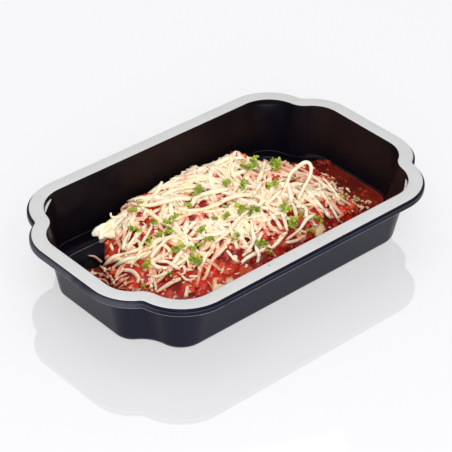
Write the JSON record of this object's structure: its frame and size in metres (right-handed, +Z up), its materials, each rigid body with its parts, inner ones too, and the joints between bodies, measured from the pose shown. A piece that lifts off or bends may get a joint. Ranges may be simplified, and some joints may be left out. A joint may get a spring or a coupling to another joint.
{
  "type": "tray meal",
  "caption": "Black lobed meal tray with a pale flange, holding a heap of baked pasta in tomato sauce under grated cheese, chopped parsley and tomato bits.",
  "frame": {"origin": "middle of the tray's base, on the surface it stands on", "axes": "+X along the tray's long side, towards the end with the wider pool of sauce; +Y across it, towards the bare wall behind the heap; +Z up"},
  "size_m": [0.2206, 0.1386, 0.0376],
  "materials": {
    "black_plastic": "smooth gloss, with a paler satin flange",
    "tomato_sauce": "wet tomato sauce",
    "pasta": "soft cooked pasta",
    "cheese_topping": "grated cheese, partly melted, over sauce"
  },
  "bodies": {
    "root": {"tray": "black_plastic", "tomato_sauce": "tomato_sauce", "pasta_sheet": "pasta", "cheesy_bake": "cheese_topping"}
  },
  "joints": []
}
